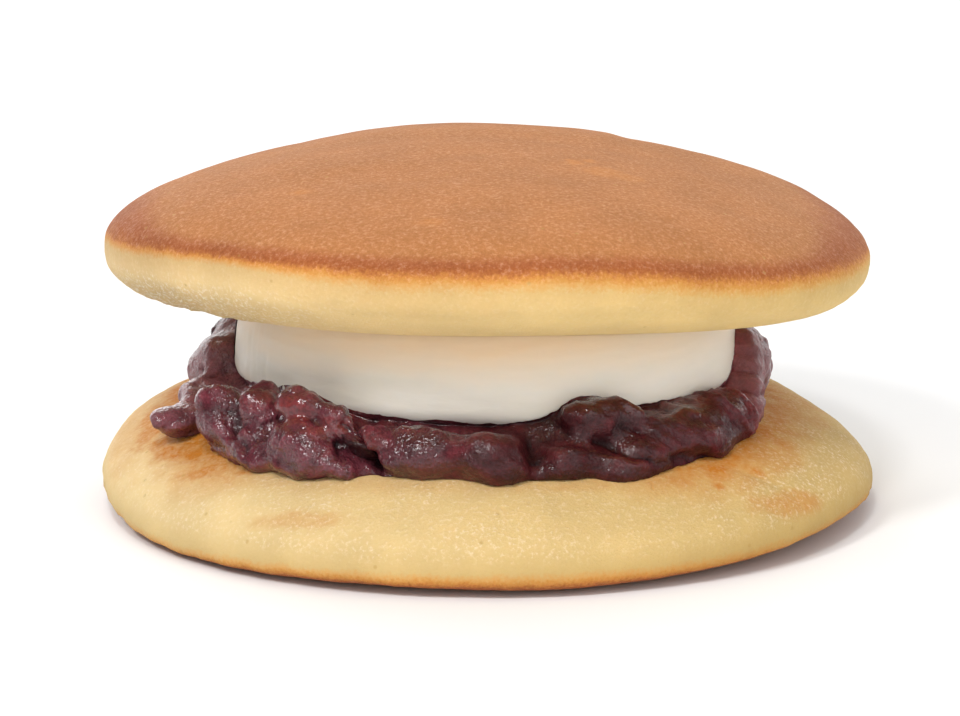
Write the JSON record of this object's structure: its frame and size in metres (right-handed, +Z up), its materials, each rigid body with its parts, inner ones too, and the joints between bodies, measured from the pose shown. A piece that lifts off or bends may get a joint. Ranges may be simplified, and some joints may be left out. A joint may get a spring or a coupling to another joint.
{
  "type": "dorayaki",
  "caption": "Dorayaki: sweet bean paste and whipped cream between soft griddle pancakes, open at the front to show the filling.",
  "frame": {"origin": "middle of the base, on the surface that the lower pancake stands on", "axes": "+Z up through both pancakes, +X to the right, -Y towards the open front that shows the filling"},
  "size_m": [0.0946, 0.0954, 0.0444],
  "materials": {
    "pale_pancake": "moist pale yellow sponge with light brown patches, browned underneath",
    "bean_paste": "glossy dark purple-brown crushed azuki beans",
    "whipped_cream": "smooth off-white whipped cream with faint streaks",
    "browned_pancake": "evenly browned griddled crust over a pale yellow sponge side"
  },
  "bodies": {
    "root": {"lower_pancake": "pale_pancake", "bean_paste": "bean_paste", "cream": "whipped_cream", "upper_pancake": "browned_pancake"}
  },
  "joints": []
}
